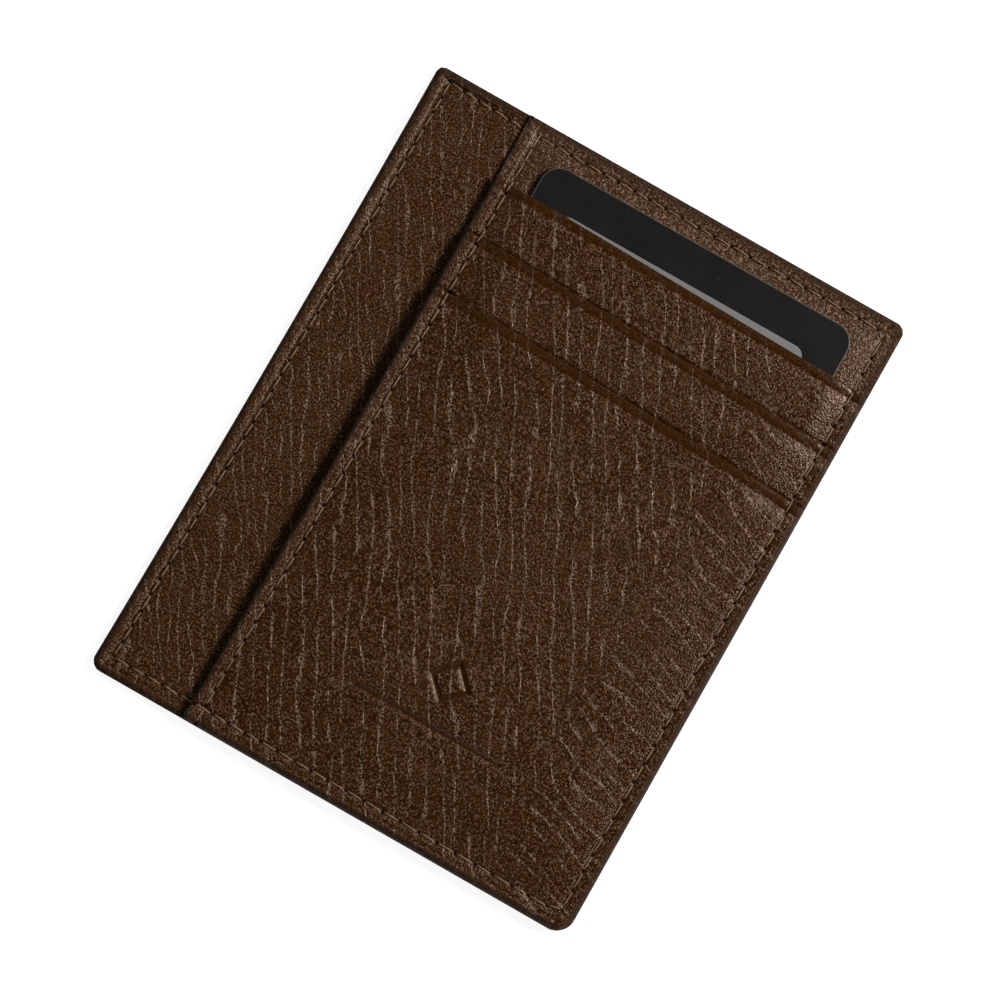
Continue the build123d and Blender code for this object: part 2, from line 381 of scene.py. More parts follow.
pit_brown = (0.010, 0.0030, 0.0005, 1)
# Colour of the painted highlights: glints blended into the leathers' colour.
glint_tan = (0.20, 0.132, 0.092, 1)
fan_turn = 42


def leather(
    name, dark, light, turn, stretch, cell, depth, speck, relief, roughness,
    painted_highlights=None, smoothed=None, fan=None,
):
    """Waxed leather, duller along the wallet's edges, where its colour is also painted darker as shade.

    Its creases run turn degrees from the wallet's length, cell mm apart. The highlight, smoothed and fan
    arguments take its recipe and give masks: where highlights are painted into its colour, where it is
    pressed smooth, and where its creases turn.
    """
    made = new_finish(name, dark, roughness, Specular_IOR_Level=0.24, Specular_Tint=(1, 0.80, 0.66, 1))
    place = made.millimetres(turn, stretch)
    spot = made.spot()
    from_side = made.sum("SUBTRACT", right, made.sum("ABSOLUTE", spot["X"]))
    from_end = made.sum("SUBTRACT", head, made.sum("ABSOLUTE", spot["Y"]))
    inner = made.ramp(made.sum("MINIMUM", from_side, from_end), 0.7, 1.5)
    keep = 1.0
    if fan:
        turned = made.node("ShaderNodeMix", {"data_type": "VECTOR"})
        share = fan(made)
        made.feed(turned.inputs[0], share)
        made.feed(turned.inputs[4], place)
        made.feed(turned.inputs[5], made.millimetres(turn + fan_turn, stretch))
        place = turned.outputs[1]
        keep = made.ramp(made.apart(share, 0.5), 0.40, 0.50)
    grained = made.node("ShaderNodeGroup", {"node_tree": grain}, Place=place, Flat=made.millimetres())
    made.feed(grained.inputs["Keep"], keep)
    grained.inputs["Cell"].default_value = cell
    grained.inputs["Depth"].default_value = depth
    grained.inputs["Speck"].default_value = speck
    tone_and_edge_shade = made.blend(grained.outputs["Tone"], dark, light)
    # Painted shade: within about 1.5 mm of the wallet's edges the colour darkens toward pit brown.
    tone_and_edge_shade = made.blend(made.ramp(inner, 0.0, 1.0, 0.65, 0.0), tone_and_edge_shade, pit_brown)
    pits = made.ramp(grained.outputs["Height"], 0.12, 0.58, 0.85, 0.0)
    colour_with_painted_light = made.blend(pits, tone_and_edge_shade, pit_brown)
    glint_share = grained.outputs["Glint"]
    # Painted highlights from the given mask, over the grain's grit; they fade near the wallet's edges.
    if painted_highlights:
        gritty = made.ramp(grained.outputs["Grit"], 0.0, 1.0, 0.10, 0.95)
        glint_share = made.sum("MAXIMUM", glint_share, made.sum("MULTIPLY", painted_highlights(made), gritty))
    glint_share = made.sum("MULTIPLY", glint_share, made.ramp(inner, 0.0, 1.0, 0.25, 1.0))
    # The painted glints and highlights are blended into the colour here.
    colour_with_painted_light = made.blend(glint_share, colour_with_painted_light, glint_tan)
    relief_height = grained.outputs["Height"]
    if smoothed:
        smooth = smoothed(made)
        relief_height = made.sum("MULTIPLY", relief_height, made.sum("SUBTRACT", 1.0, smooth))
        colour_with_painted_light = made.blend(smooth, colour_with_painted_light, made.blend(0.35, tone_and_edge_shade, pit_brown))
    made.feed(made.shader.inputs["Base Color"], colour_with_painted_light)
    uneven = made.ramp(grained.outputs["Tone"], 0.2, 0.8, roughness - 0.04, roughness + 0.06)
    made.feed(made.shader.inputs["Roughness"], made.ramp(inner, 0.0, 1.0, 0.8, uneven))
    add_bump(made, relief_height, relief)
    return made


dark_brown = (0.032, 0.0098, 0.0007, 1)
light_brown = (0.043, 0.0148, 0.0018, 1)
back_leather = leather(
    "back_leather", dark_brown, light_brown, turn=30, stretch=(1, 3.4, 1), cell=2.4,
    depth=0.75, speck=0.34, relief=0.055, roughness=0.25,
)
back_edge = 0.5
back_hem = 6.5
back_hem_level = -1.18
back_seams_x = (left + 2.7, right - 2.55)
back_seams_y = (foot + 2.9, head - 2.4)


def back_face(x, y):
    """The back leather's outer face, upside down: sunk along the seam, and slightly uneven."""
    near = min([abs(x - line) for line in back_seams_x] + [abs(y - line) for line in back_seams_y])
    return -0.20 * dip(near, 0.55) - 0.045 + 0.05 * unevenness(x, y, 14, 3.1) - 0.04 * dip(near, 3)


back_columns = lanes(left + back_edge, right - back_edge, 0.6, back_seams_x)
back_rows = lanes(foot + back_edge, head - back_edge, 0.6, back_seams_y)
back_mesh = lay_leather(
    turned_lanes(back_columns, 10, 10),
    [(y, ring, 0.0) for y, ring in turned_lanes(back_rows, 10, 10)],
    back_face,
    four_sides(back_edge, round_turn(back_edge, back_hem), back_hem_level),
)
bmesh.ops.scale(back_mesh, vec=(1, 1, -1), verts=back_mesh.verts)
bmesh.ops.reverse_faces(back_mesh, faces=back_mesh.faces)
back_panel = add_piece("back_leather_panel", back_mesh, back_leather.material)
outer_hide = 0.42
thicken(back_panel, outer_hide)
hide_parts("back_panel")

# Stiffener board: grey-brown leather board, cut with a knife and glued inside the turned edges.
board = new_finish("stiffener_board", (0.18, 0.12, 0.075, 1), 0.85)
pulp = board.noise(board.millimetres(0, (1, 3, 1)), 0.7, 5.0)
board_colour = board.blend(board.ramp(pulp, 0.35, 0.7), (0.13, 0.085, 0.05, 1), (0.24, 0.17, 0.11, 1))
board.feed(board.shader.inputs["Base Color"], board_colour)
add_bump(board, pulp, 0.04)
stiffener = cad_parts["back_stiffener"]
stiffener.data.materials.clear()
stiffener.data.materials.append(board.material)

# Inner panel: fine-grained leather that shows as the plain strip on the left and runs on under the
# card stack. Its rounded edge lies on the back's turned hem, with a pressed line just inside it.


def band(recipe, axis, start, end, soft=0.25):
    """1 between two positions along an axis, in mm, with soft borders."""
    place = recipe.spot()[axis]
    into = recipe.ramp(place, start - soft, start + soft)
    return recipe.sum("MULTIPLY", into, recipe.ramp(place, end - soft, end + soft, 1.0, 0.0))


def left_ridge_highlight(recipe):
    """The narrow ridge just inside the wallet's left edge, painted lighter as highlight; the edge itself
    bows.
    """
    spot = recipe.spot()
    along = recipe.sum("POWER", recipe.sum("DIVIDE", spot["Y"], head), 2.0)
    edge = recipe.sum("MULTIPLY_ADD", along, -0.35, left + 0.35)
    inward = recipe.sum("SUBTRACT", spot["X"], edge)
    ridge = recipe.sum("MULTIPLY", recipe.ramp(inward, 1.1, 1.4), recipe.ramp(inward, 1.6, 1.85, 1.0, 0.0))
    # Strength of the painted highlight, varied in patches along the ridge.
    highlight_patches = recipe.ramp(recipe.noise(recipe.millimetres(), 6.0, 2.0), 0.3, 0.6, 0.35, 0.85)
    return recipe.sum("MULTIPLY", ridge, highlight_patches)


fine_dark_brown = (0.034, 0.0112, 0.0010, 1)
fine_light_brown = (0.045, 0.0162, 0.0024, 1)
strip_leather = leather(
    "strip_leather", fine_dark_brown, fine_light_brown, turn=30, stretch=(1, 2.6, 1), cell=1.8,
    depth=0.50, speck=0.33, relief=0.055, roughness=0.25, painted_highlights=left_ridge_highlight,
)
inner_low, inner_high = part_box("inner_panel")
inner_top = inner_high[2] / mm
inner_floor = inner_low[2] / mm
strip_seam = left + 2.65
edge_bulge = 1.15
stack_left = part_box("pocket_3_panel")[0][0] / mm


def edge_lines(x, y):
    """The line pressed into the leather just inside the wallet's edge."""
    near = min(right - x, y - foot, head - y)
    return -0.10 * dip(near - 1.55, 0.20)


def seam_sink(x, y):
    """How far the seam round the edge draws the leather in."""
    top_line = mix(1.8, 2.45, ease((x - left - 2.7) / 16))
    near = min(abs(x - right + 2.55), abs(y - foot - 2.9), abs(y - head + top_line))
    return -0.17 * dip(near, 0.45) - 0.05 * dip(near, 1.2)


def inner_face(x, y):
    level = inner_top + 0.05 * unevenness(x, y, 6, 1.7) - 0.03
    level += edge_lines(x, y) - 0.20 * dip(x - left - 2.12, 0.22)
    level += seam_sink(x, y) - 0.16 * dip(x - strip_seam, 0.42)
    return level


strip_end = stack_left + 2
inner_columns = lanes(left + edge_bulge, strip_end, 0.36, (left + 2.1, strip_seam))
inner_columns += lanes(strip_end, right - edge_bulge, 2.5, (strip_end, right - edge_bulge), 0.4)[1:]
inner_lines_y = (foot + 1.55, foot + 2.9, head - 1.45, head - 1.9, head - 2.4)
inner_rows = lanes(foot + edge_bulge, head - edge_bulge, 0.42, inner_lines_y)
inner_mesh = lay_leather(
    turned_lanes(inner_columns, 9, 9),
    [(y, ring, 0.0) for y, ring in turned_lanes(inner_rows, 9, 9)],
    inner_face,
    four_sides(edge_bulge, quarter_turn(edge_bulge, 0.3), inner_floor),
)
inner_panel = add_piece("inner_panel_leather", inner_mesh, strip_leather.material)
thicken(inner_panel, outer_hide)
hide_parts("inner_panel")

# Slip pocket lining: thin woven cotton glued to the underside of the stack base. It faces the long
# pocket between the card stack and the inner panel, which opens on the left. All the cloths are hidden.
cloth = new_finish("lining_cloth", (0.04, 0.02, 0.01, 1), 0.8, Sheen_Weight=0.25)
weave_place = cloth.node("ShaderNodeSeparateXYZ", Vector=cloth.millimetres(0, (0.11, 0.11, 1)))
warp = cloth.sum("SINE", weave_place.outputs["X"])
weft = cloth.sum("SINE", weave_place.outputs["Y"])
weave = cloth.sum("MULTIPLY", warp, weft)
weave_height = cloth.ramp(weave, -1.0, 1.0)
slub = cloth.noise(cloth.millimetres(0, (1, 6, 1)), 0.8, 3.0)
cloth_colour = cloth.blend(weave_height, (0.016, 0.009, 0.005, 1), (0.055, 0.032, 0.018, 1))
cloth_colour = cloth.blend(cloth.ramp(slub, 0.4, 0.8), cloth_colour, (0.075, 0.045, 0.026, 1))
cloth.feed(cloth.shader.inputs["Base Color"], cloth_colour)
add_bump(cloth, weave_height, 0.03)


def lay_cloth(name, low, high, level, node):
    """One lining cloth, from one corner to the other, at a level that may change up the wallet."""
    mesh = bmesh.new()
    wide, long = high[0] - low[0], high[1] - low[1]
    columns, rows = round(wide / 1.5), round(long / 1.0)
    bmesh.ops.create_grid(mesh, x_segments=columns, y_segments=rows, size=1)
    for vertex in mesh.verts:
        x = mix(low[0], high[0], (vertex.co.x + 1) / 2)
        y = mix(low[1], high[1], (vertex.co.y + 1) / 2)
        vertex.co = (x, y, level(x, y) + 0.03 * unevenness(x, y, 9, 6.2))
    piece = add_piece(name, mesh, cloth.material)
    thicken(piece, 0.1)
    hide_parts(node)


slip_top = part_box("slip_pocket_lining")[1][2] / mm
lay_cloth(
    "slip_pocket_cloth", (stack_left + 1.6, foot + 4.2), (right - 4.2, head - 4.2),
    lambda x, y: slip_top - 0.02, "slip_pocket_lining",
)

# Stack base: the leather behind the card. It shows above the first mouth, and its left edge is
# turned under. Below that it lies hidden under the pockets, drawn in a little from their edges.
base_top = 2.72
stack_floor = 1.96
stack_seam = -22.55
stack_bulge = 0.95
mouth = {1: (95.7, 94.2), 2: (86.2, 84.3), 3: (76.3, 74.2)}  # height above the foot, left and right


def stack_crest_highlight(recipe):
    """The stack's rounded left edge, painted lighter along its top as a highlight."""
    return recipe.sum("MULTIPLY", band(recipe, "X", stack_left + 1.0, stack_left + 1.6, 0.2), 0.75)


# The base leather's speckle gets painted highlights everywhere, and a little more along the stack's crest.
base_leather = leather(
    "base_leather", fine_dark_brown, fine_light_brown, turn=15, stretch=(1, 1.6, 1), cell=1.1,
    depth=0.35, speck=0.38, relief=0.065, roughness=0.25,
    painted_highlights=lambda recipe: recipe.sum("MAXIMUM", stack_crest_highlight(recipe), 0.62),
)


def mouth_line(number, x):
    """How far up the mouth of a pocket lies at x: they all slant down to the right."""
    high_end, low_end = mouth[number]
    return foot + mix(high_end, low_end, (x - stack_left) / (right - stack_left))


def stack_lines(x):
    """The line pressed beside the stack's left edge, and the seam's sinking there."""
    return -0.17 * dip(x - stack_left - 2.12, 0.20) - 0.14 * dip(x - stack_seam, 0.42)


def pillow(x, slope):
    """0 at the seams on both sides of the stack, 1 over its middle, rising over that many mm."""
    return ease((x - stack_seam - 0.3) / slope) * ease((right - 2.85 - x) / slope)


def gape(number, x, y):
    """How the leather under a mouth sinks away beside it and leaves a dark gap."""
    past = y - mouth_line(number, x)
    return -(0.26 + 0.3 * unevenness(x, y, 5, number)) * dip(past - 0.08, 0.22)


def base_face(x, y):
    side = mix(2.55, 2.40, (x - stack_left) / (right - stack_left))
    middle = mix(base_top, 2.35, ease((y - head + 5.5) / 3.0))
    level = mix(min(side, middle), middle, pillow(x, 3.6))
    level += edge_lines(x, y) + seam_sink(x, y) + stack_lines(x)
    return level + 0.02 * unevenness(x, y, 7, 9.4) - 0.01


stack_turn = quarter_turn(edge_bulge, 0.5)
base_sides = four_sides(edge_bulge, stack_turn, inner_top)
base_sides["left"] = (stack_left + stack_bulge, quarter_turn(stack_bulge, 2.0), stack_floor)
stack_lanes_x = (stack_left + 2.15, stack_seam, right - 2.55, right - 1.55)
base_columns = lanes(stack_left + stack_bulge, right - edge_bulge, 0.6, stack_lanes_x)
base_split = foot + mouth[1][1] - 3
base_rows = lanes(foot + edge_bulge, base_split, 2.5, (base_split,), 0.5)
base_rows += lanes(base_split, head - edge_bulge, 0.45, (head - 2.4, head - 1.55))[1:]
base_mesh = lay_leather(
    turned_lanes(base_columns, 9, 9),
    [(y, ring, 0.0) for y, ring in turned_lanes(base_rows, 9, 9)],
    base_face, base_sides,
    covered=lambda y: 0.75 * ease((foot + mouth[1][1] - 0.6 - y) / 1.2),
)
stack_base = add_piece("stack_base_leather", base_mesh, base_leather.material)
thicken(stack_base, 0.38)
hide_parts("stack_base", "stack_edge_hem")

# Card pockets 1 and 2: strips of pebbled leather, each with its mouth folded over, pressed flat and
# creased, with a cotton lining behind it. Only the part above the next mouth shows.


def toward_the_right(recipe):
    """Where the pockets' creases turn: within some 15 mm of the right seam, past a ragged border."""
    border = recipe.noise(recipe.millimetres(), 6.0, 2.0)
    return recipe.ramp(recipe.sum("MULTIPLY_ADD", border, 14.0, recipe.spot()["X"]), right - 8.0, right - 7.2)


lozenge_x, lozenge_y, lozenge_line = 7.3, 24.9, 0.8
lozenge_reach = 6.2 / 2.83
rule_y, rule_length, rule_width = 17.6, 26.0, 0.7


def ornament(recipe):
    """1 on the lines of the front pocket's pressed ornament, which the hot stamp has left smooth."""
    spot = recipe.spot()
    aside = recipe.apart(spot["X"], lozenge_x)
    above = recipe.apart(spot["Y"], foot + lozenge_y)
    far = recipe.sum("DIVIDE", recipe.sum("ADD", aside, above), math.sqrt(2))
    off = recipe.apart(far, lozenge_reach)
    lines = recipe.ramp(off, lozenge_line / 2 - 0.1, lozenge_line / 2 + 0.15, 0.8, 0.0)
    off_rule = recipe.apart(spot["Y"], foot + rule_y)
    rule = recipe.ramp(off_rule, rule_width / 2 - 0.1, rule_width / 2 + 0.15, 0.8, 0.0)
    rule = recipe.sum("MULTIPLY", rule, recipe.sum("LESS_THAN", aside, rule_length / 2))
    return recipe.sum("MAXIMUM", lines, rule)


def below_mouths(recipe):
    """How far below each of the three slanting mouths a spot lies, in mm."""
    spot = recipe.spot()
    for high_end, low_end in mouth.values():
        slope = (high_end - low_end) / (right - stack_left)
        edge = recipe.sum("MULTIPLY_ADD", spot["X"], slope, spot["Y"])
        yield recipe.sum("SUBTRACT", foot + high_end + slope * stack_left, edge)


def hem_bands(recipe):
    """Where the pockets are pressed smooth: the ornament, and the flat band between each pocket's mouth
    edge and the line pressed below it."""
    smooth = ornament(recipe)
    for below in below_mouths(recipe):
        flat = recipe.sum("MULTIPLY", recipe.ramp(below, -0.5, 0.1), recipe.ramp(below, 1.1, 1.9, 1.0, 0.0))
        smooth = recipe.sum("MAXIMUM", smooth, recipe.sum("MULTIPLY", flat, 0.72))
    return smooth


def sheen_and_highlights(recipe):
    """Where highlights are painted on the pocket leather: along the stack's edge, as a painted sheen in a
    patch under each mouth's pressed line that widens toward the right seam, and along each mouth's rounded
    edge."""
    spot = recipe.spot()
    rightward = recipe.ramp(spot["X"], right - 18, right - 3)
    sheen_wedges = 0.0
    for below in below_mouths(recipe):
        last = recipe.sum("MULTIPLY_ADD", rightward, 1.9, 1.9)
        under = recipe.ramp(recipe.sum("SUBTRACT", last, below), 0.0, 0.8)
        sheen_wedge = recipe.sum("MULTIPLY", recipe.ramp(below, 1.5, 1.8), under)
        lip_highlight = recipe.sum("MULTIPLY", recipe.ramp(below, -0.4, 0.0), recipe.ramp(below, 0.25, 0.55, 1.0, 0.0))
        sheen_wedges = recipe.sum("MAXIMUM", sheen_wedges, recipe.sum("MAXIMUM", sheen_wedge, lip_highlight))
    sheen_wedges = recipe.sum("MULTIPLY", sheen_wedges, rightward)
    return recipe.sum("MAXIMUM", stack_crest_highlight(recipe), sheen_wedges)


pocket_leather = leather(
    "pocket_leather", dark_brown, light_brown, turn=28, stretch=(1, 3.6, 1), cell=2.4,
    depth=0.80, speck=0.33, relief=0.055, roughness=0.24,
    painted_highlights=sheen_and_highlights, smoothed=hem_bands, fan=toward_the_right,
)
mouth_bulge = 0.36
mouth_fold = 0.64


def mouth_rows(number, low, low_rings, lines=(), widest=0.42):
    """Rows of a pocket leather from its lower end up to its mouth, over the fold and down the hem."""
    edge = foot + mouth[number][0] - mouth_bulge
    flat = lanes(low, edge, widest, (edge - 1.1,) + tuple(lines), 0.16, 1.1)
    rows = [(y, ring, 0.0) for y, ring in turned_lanes(flat, low_rings, 0)]
    for turn in range(1, 8):
        lean = math.pi * turn / 7
        rows.append((edge + mouth_bulge * math.sin(lean), 0, mouth_fold / 2 * (1 - math.cos(lean))))
    return rows + [(edge - 2.5, 0, mouth_fold), (edge - 6.5, 0, mouth_fold)]


def mouth_press(number, x, y):
    """The line pressed along a mouth; y is counted before the mouth is slanted."""
    below = foot + mouth[number][0] - y
    drawn = 0.03 + 0.17 * ease((x - right + 17) / 15)
    return -0.12 * dip(below - 1.45, 0.17) - drawn * ease((below - 1.35) / 0.3) * dip(below - 1.45, 1.7)


def pocket_face(number, left_levels, right_levels, middle_levels, slopes):
    """Level of a pocket leather: low at its two seams, raised over the card space in the middle."""

    def face(x, y):
        middle = through(middle_levels, y - foot)
        near_left = 1 - ease((x - stack_seam - 0.3) / slopes[0])
        near_right = 1 - ease((right - 2.85 - x) / slopes[1])
        level = middle - (middle - through(left_levels, y - foot)) * near_left
        level -= (middle - through(right_levels, y - foot)) * near_right
        level += mouth_press(number, x, y) + edge_lines(x, y) + seam_sink(x, y) + stack_lines(x)
        if number < 3:
            level += gape(number + 1, x, y + mouth_line(number, x) - foot - mouth[number][0])
        return level + 0.05 * unevenness(x, y, 8, number) + 0.02 * unevenness(x, y, 1.6, number + 4.3)

    return face


pocket_sides = {
    "left": (stack_left + stack_bulge, quarter_turn(stack_bulge, 0.6), stack_floor),
    "right": (right - edge_bulge, stack_turn, inner_top),
}
pocket_columns = turned_lanes(
    lanes(stack_left + stack_bulge, right - edge_bulge, 0.45, stack_lanes_x), 9, 9
)
pocket_strips = []
pocket_hide = 0.31
# Each pocket's levels at (height above the foot, level): by the left seam, by the right seam and over
# the middle. Then come the widths over which it rises from the two seams.
pocket_levels = {
    1: (
        [(70, 3.10), (84, 3.25), (95.7, 3.50)], [(70, 3.25), (84, 3.45), (95.7, 3.75)],
        [(78, 4.00), (95.7, 4.24)], (3.7, 3.7),
    ),
    2: (
        [(60, 3.60), (74, 3.75), (86.2, 4.10)], [(60, 3.75), (74, 3.90), (86.2, 4.25)],
        [(68, 4.35), (86.2, 4.80)], (6.0, 6.0),
    ),
    3: (
        [(3, 3.32), (12, 3.65), (40, 4.05), (76.3, 4.45)], [(3, 3.32), (12, 3.70), (40, 4.20), (76.3, 4.70)],
        [(2.9, 3.32), (12.5, 4.05), (24, 4.42), (62, 4.75), (76.3, 5.25)], (9.0, 8.0),
    ),
}
for number in (1, 2):
    below = number + 1
    lower_end = foot + mouth[below][0] - 8
    leather_strip = lay_leather(
        pocket_columns,
        mouth_rows(number, lower_end, 0, (foot + mouth[below][0] + 0.15,)),
        pocket_face(number, *pocket_levels[number]),
        pocket_sides,
        slant=lambda x, y: mouth_line(number, x) - foot - mouth[number][0],
        covered=lambda y: 0.7 * ease((foot + mouth[below][1] - 0.3 - y) / 1.0),
    )
    pocket = add_piece(f"pocket_{number}_leather", leather_strip, pocket_leather.material)
    thicken(pocket, pocket_hide)
    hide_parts(f"pocket_{number}_panel", f"pocket_{number}_hem")
    pocket_strips.append(pocket)

# Pocket 3, the front: one large pebbled leather down to the bottom edge, with a folded mouth like
# the others. It is blind-pressed with a plain ornament, a lozenge frame over a short rule.
press_depth = 0.34
ornament_steps = (-3.1, -1.55, 0, 1.55, 3.1)
ornament_x = tuple(lozenge_x + step for step in ornament_steps)
ornament_y = tuple(foot + lozenge_y + step for step in ornament_steps) + (foot + rule_y,)


def pressed(x, y):
    """How far the ornament is pressed in, with soft shoulders."""
    up = y - foot
    far = (abs(x - lozenge_x) + abs(up - lozenge_y)) / math.sqrt(2)
    frame_line = 1 - ease((abs(far - lozenge_reach) - lozenge_line / 2 + 0.15) / 0.3)
    along = 1 - ease((abs(x - lozenge_x) - rule_length / 2 + 0.15) / 0.3)
    rule = along * (1 - ease((abs(up - rule_y) - rule_width / 2 + 0.15) / 0.3))
    return -press_depth * max(frame_line, rule)


front_shape = pocket_face(3, *pocket_levels[3])
front_sides = dict(pocket_sides)
front_sides["foot"] = (foot + edge_bulge, stack_turn, inner_top)
front_columns = turned_lanes(
    lanes(stack_left + stack_bulge, right - edge_bulge, 0.48, stack_lanes_x + ornament_x), 9, 9
)
front_rows = mouth_rows(3, foot + edge_bulge, 9, (foot + 1.55, foot + 2.9) + ornament_y, 0.46)
front_mesh = lay_leather(
    front_columns, front_rows,
    lambda x, y: front_shape(x, y) + pressed(x, y),
    front_sides,
    slant=lambda x, y: (mouth_line(3, x) - foot - mouth[3][0]) * ease((y - foot) / mouth[3][0]),
)
front = add_piece("front_pocket_leather", front_mesh, pocket_leather.material)
thicken(front, pocket_hide)
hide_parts("pocket_3_panel", "pocket_3_hem")

# Pocket linings: three cotton cloths behind the pocket leathers, the first two sewn at the foot. The
# card lies behind the first. The real ones run up to the mouths; these stop short, out of sight.
def cloth_level(y, foot_line, low, full):
    """Level of a lining: sewn down at its foot line, and lying at its full height above it."""
    return mix(low, full, ease((y - foot - foot_line) / 1.6))


lay_cloth(
    "pocket_1_cloth", (stack_left + 2.9, foot + 10), (right - 3.1, foot + 78),
    lambda x, y: mix(2.66, cloth_level(y, 14.8, 2.84, 3.68), pillow(x, 3.6)),
    "pocket_1_lining",
)
lay_cloth(
    "pocket_2_cloth", (stack_left + 2.9, foot + 5), (right - 3.1, foot + 68),
    lambda x, y: min(cloth_level(y, 8.4, 2.95, 3.95), front_shape(x, y) - 0.62),
    "pocket_2_lining",
)
lay_cloth(
    "pocket_3_cloth", (stack_left + 2.9, foot + 4), (right - 3.1, foot + 68),
    lambda x, y: front_shape(x, y) - 0.46,
    "pocket_3_lining",
)

# Card: black satin plastic in the first pocket, with rounded corners, a rim painted a shade lighter as a
# highlight and a grey panel printed on its face. Dust lies on it.
card_radius = 3.18
card_low, card_high = [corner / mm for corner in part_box("card_body")]
print_low, print_high = [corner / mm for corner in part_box("card_print")]


def rounded_plate(low, high, radius, rim):
    """Flat plate with round corners and a softened rim."""
    mesh = bmesh.new()
    bmesh.ops.create_cube(mesh, size=1)
    middle = (Vector(low) + Vector(high)) / 2
    bmesh.ops.scale(mesh, vec=Vector(high) - Vector(low), verts=mesh.verts)
    bmesh.ops.translate(mesh, vec=middle, verts=mesh.verts)
    upright = [edge for edge in mesh.edges if abs(edge.verts[0].co.z - edge.verts[1].co.z) > 1e-6]
    bmesh.ops.bevel(
        mesh, geom=upright, offset=radius, segments=14, affect="EDGES", profile=0.5, material=-1
    )
    border = [edge for edge in mesh.edges if abs(edge.verts[0].co.z - edge.verts[1].co.z) < 1e-6]
    bmesh.ops.bevel(mesh, geom=border, offset=rim, segments=6, affect="EDGES", profile=0.5, material=-1)
    return mesh


plastic = new_finish("card_plastic", (0.011, 0.0105, 0.0105, 1), 0.30, Specular_IOR_Level=0.22)
dust = plastic.ramp(plastic.cells(plastic.millimetres(), 1.9), 0.03, 0.075, 1.0, 0.0)
dust = plastic.sum("MULTIPLY", dust, plastic.ramp(plastic.noise(plastic.millimetres(), 1.2), 0.45, 0.6))
haze = plastic.noise(plastic.millimetres(), 6.0, 4.0)
handled = plastic.ramp(haze, 0.3, 0.8, 0.0, 0.6)
card_colour = plastic.blend(handled, (0.009, 0.0085, 0.0085, 1), (0.015, 0.014, 0.014, 1))
card_colour = plastic.blend(plastic.sum("MULTIPLY", dust, 0.6), card_colour, (0.5, 0.46, 0.42, 1))
from_middle = plastic.node("ShaderNodeVectorMath", {"operation": "SUBTRACT"})
plastic.feed(from_middle.inputs[0], plastic.millimetres())
from_middle.inputs[1].default_value = (card_low + card_high) / 2
to_corner = plastic.node("ShaderNodeSeparateXYZ", Vector=from_middle.outputs[0])
past = []
for axis, half in (("X", (card_high.x - card_low.x) / 2), ("Y", (card_high.y - card_low.y) / 2)):
    over = plastic.sum("SUBTRACT", plastic.sum("ABSOLUTE", to_corner.outputs[axis]), half - card_radius)
    past.append(plastic.sum("POWER", plastic.sum("MAXIMUM", over, 0.0), 2.0))
rim_highlight = plastic.ramp(plastic.sum("SQRT", plastic.sum("ADD", *past)), 2.95, 3.08)
# Painted highlight: a thin line round the card's rim is blended lighter.
card_colour = plastic.blend(plastic.sum("MULTIPLY", rim_highlight, 0.4), card_colour, (0.16, 0.155, 0.14, 1))
plastic.feed(plastic.shader.inputs["Base Color"], card_colour)
add_bump(plastic, plastic.noise(plastic.millimetres(), 0.12, 2.0), 0.004)
card_mesh = rounded_plate(card_low, card_high, card_radius, 0.12)
card = add_piece("card", card_mesh, plastic.material, "card", smooth=False)
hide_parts("card_body")

printed = new_finish("card_print", (0.16, 0.16, 0.162, 1), 0.45)
tint = printed.noise(printed.millimetres(), 4.0, 4.0)
printed.feed(
    printed.shader.inputs["Base Color"],
    printed.blend(tint, (0.15, 0.15, 0.152, 1), (0.175, 0.175, 0.178, 1)),
)
add_bump(printed, printed.noise(printed.millimetres(), 0.1, 2.0), 0.003)
panel = add_piece(
    "card_printed_panel", rounded_plate(print_low, print_high + Vector((0, 0, 0.012)), 1.8, 0.005),
    printed.material, "card", smooth=False,
)
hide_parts("card_print")

# Seams: waxed golden-brown thread, three strands twisted together, in a lockstitch with about nine
# stitches to the inch. Each stitch comes up through a needle hole and lies in a slight slant.
thread = new_finish("thread", (0.22, 0.12, 0.04, 1), 0.65, Sheen_Weight=0.15)
strands = thread.noise(thread.millimetres(), 0.22, 3.0)
twist_shade = thread.ramp(strands, 0.3, 0.7)
thread_colour = thread.blend(twist_shade, (0.07, 0.034, 0.009, 1), (0.21, 0.115, 0.038, 1))
thread.feed(thread.shader.inputs["Base Color"], thread_colour)
add_bump(thread, strands, 0.03)
# Needle holes: their walls are painted near black, as shade down in the deep holes.
hole_shade = new_finish("needle_hole_shade", (0.002, 0.0012, 0.0008, 1), 1.0, Specular_IOR_Level=0.1)
hole_noise = hole_shade.noise(hole_shade.millimetres(), 0.15, 3.0)
hole_shade_colour = hole_shade.blend(hole_noise, (0.0008, 0.0005, 0.0003, 1), (0.004, 0.0024, 0.0014, 1))
hole_shade.feed(hole_shade.shader.inputs["Base Color"], hole_shade_colour)
add_bump(hole_shade, hole_noise, 0.05)
chance = random.Random(7)


def seam_points(runs):
    """Needle holes along a seam, from runs of (start, end, pitch) in mm from the bottom left corner."""
    points = []
    for start, end, pitch in runs:
        count = max(1, round(math.dist(start, end) / pitch))
        for number in range(count):
            share = (number + (chance.uniform(-0.06, 0.06) if 0 < number else 0)) / count
            x = left + mix(start[0], end[0], share)
            y = foot + mix(start[1], end[1], share)
            points.append(Vector((x + hollow(x, y), y, 0)))
    x, y = left + runs[-1][1][0], foot + runs[-1][1][1]
    return points + [Vector((x + hollow(x, y), y, 0))]


